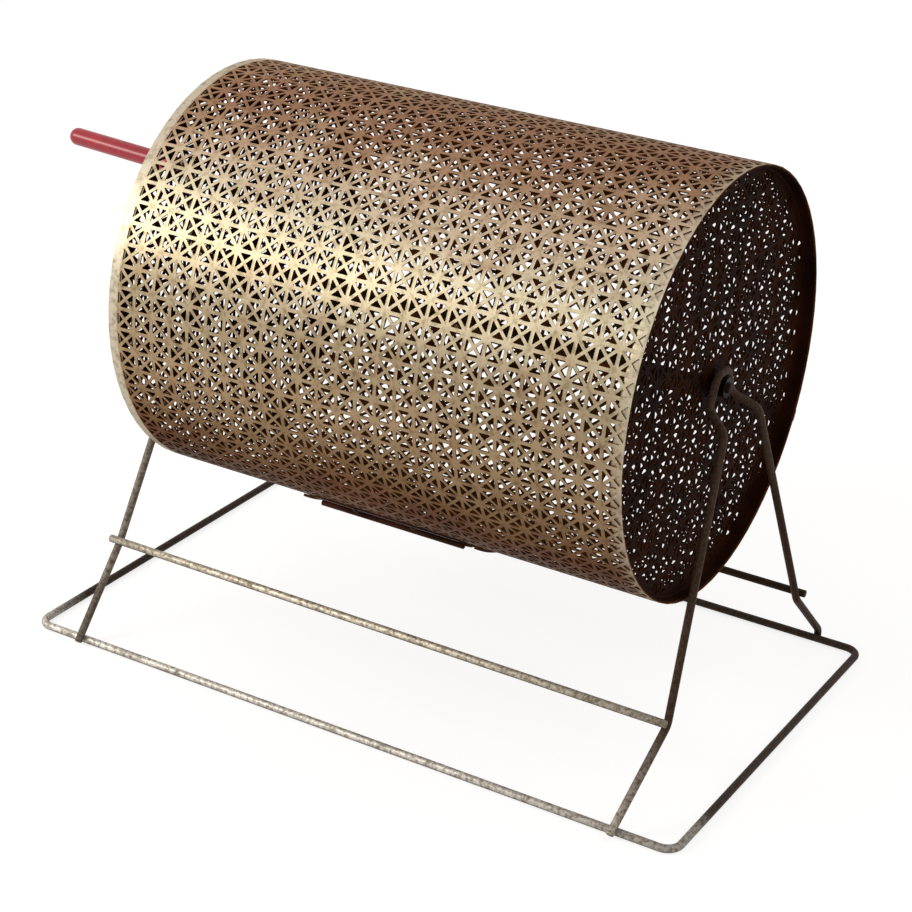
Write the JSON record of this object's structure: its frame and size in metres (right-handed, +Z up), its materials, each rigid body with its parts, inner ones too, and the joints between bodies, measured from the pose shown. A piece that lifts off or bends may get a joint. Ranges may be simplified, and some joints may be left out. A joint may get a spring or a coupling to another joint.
{
  "type": "raffle drum",
  "caption": "Table-top raffle drum: a perforated metal cylinder with a hinged, hasped door, turned by a crank with a red grip, on a bent-wire stand.",
  "frame": {"origin": "centre of the wire base on the table, below the middle of the drum", "axes": "+X along the axle, away from the crank; +Y to the back; +Z up"},
  "size_m": [0.5218, 0.2844, 0.3436],
  "materials": {
    "drum_brass": "tarnished antique gold sheet with brown patches",
    "cap_brass": "dark tarnished sheet",
    "stand_wire": "worn nickel plate with brown specks",
    "crank_rod": "worn nickel plate",
    "dark_hardware": "dull and darkened",
    "grip_vinyl": "smooth red dipped vinyl"
  },
  "bodies": {
    "stand": {"base_loop": "stand_wire", "leg_frame_left": "stand_wire", "leg_frame_right": "stand_wire", "front_stretcher": "stand_wire", "rear_stretcher": "stand_wire", "sleeve_left": "dark_hardware", "sleeve_right": "dark_hardware"},
    "drum": {"drum_shell": "drum_brass", "seam_rivets": "drum_brass", "end_cap_left": "cap_brass", "end_cap_right": "cap_brass", "hub_left": "dark_hardware", "hub_right": "dark_hardware", "hub_rivets_left": "dark_hardware", "hub_rivets_right": "dark_hardware", "set_screws": "dark_hardware", "washer_left": "dark_hardware", "washer_right": "dark_hardware", "axle_crank": "crank_rod", "grip": "grip_vinyl", "hinge_leaf_shell": "dark_hardware", "hinge_rivets_shell": "dark_hardware", "hinge_pin": "dark_hardware", "staple": "dark_hardware"},
    "door": {"door_panel": "drum_brass", "door_rim": "drum_brass", "hinge_leaf_door": "dark_hardware", "hinge_rivets_door": "dark_hardware", "hasp_base": "dark_hardware", "hasp_rivets": "dark_hardware", "hasp_pin": "dark_hardware"},
    "hasp": {"hasp": "dark_hardware"}
  },
  "joints": [
    {"name": "drum_spin", "type": "hinge", "parent": "stand", "child": "drum", "pos_m": [0, 0, 0.2172], "axis": [1, 0, 0], "continuous": true},
    {"name": "door_swing", "type": "hinge", "parent": "drum", "child": "door", "pos_m": [-0.007, -0.06524, 0.10644], "axis": [-1, 0, 0], "range_deg": [0, 90]},
    {"name": "hasp_swing", "type": "hinge", "parent": "door", "child": "hasp", "pos_m": [-0.0095, 0.00825, 0.08726], "axis": [-1, 0, 0], "range_deg": [0, 100]}
  ]
}
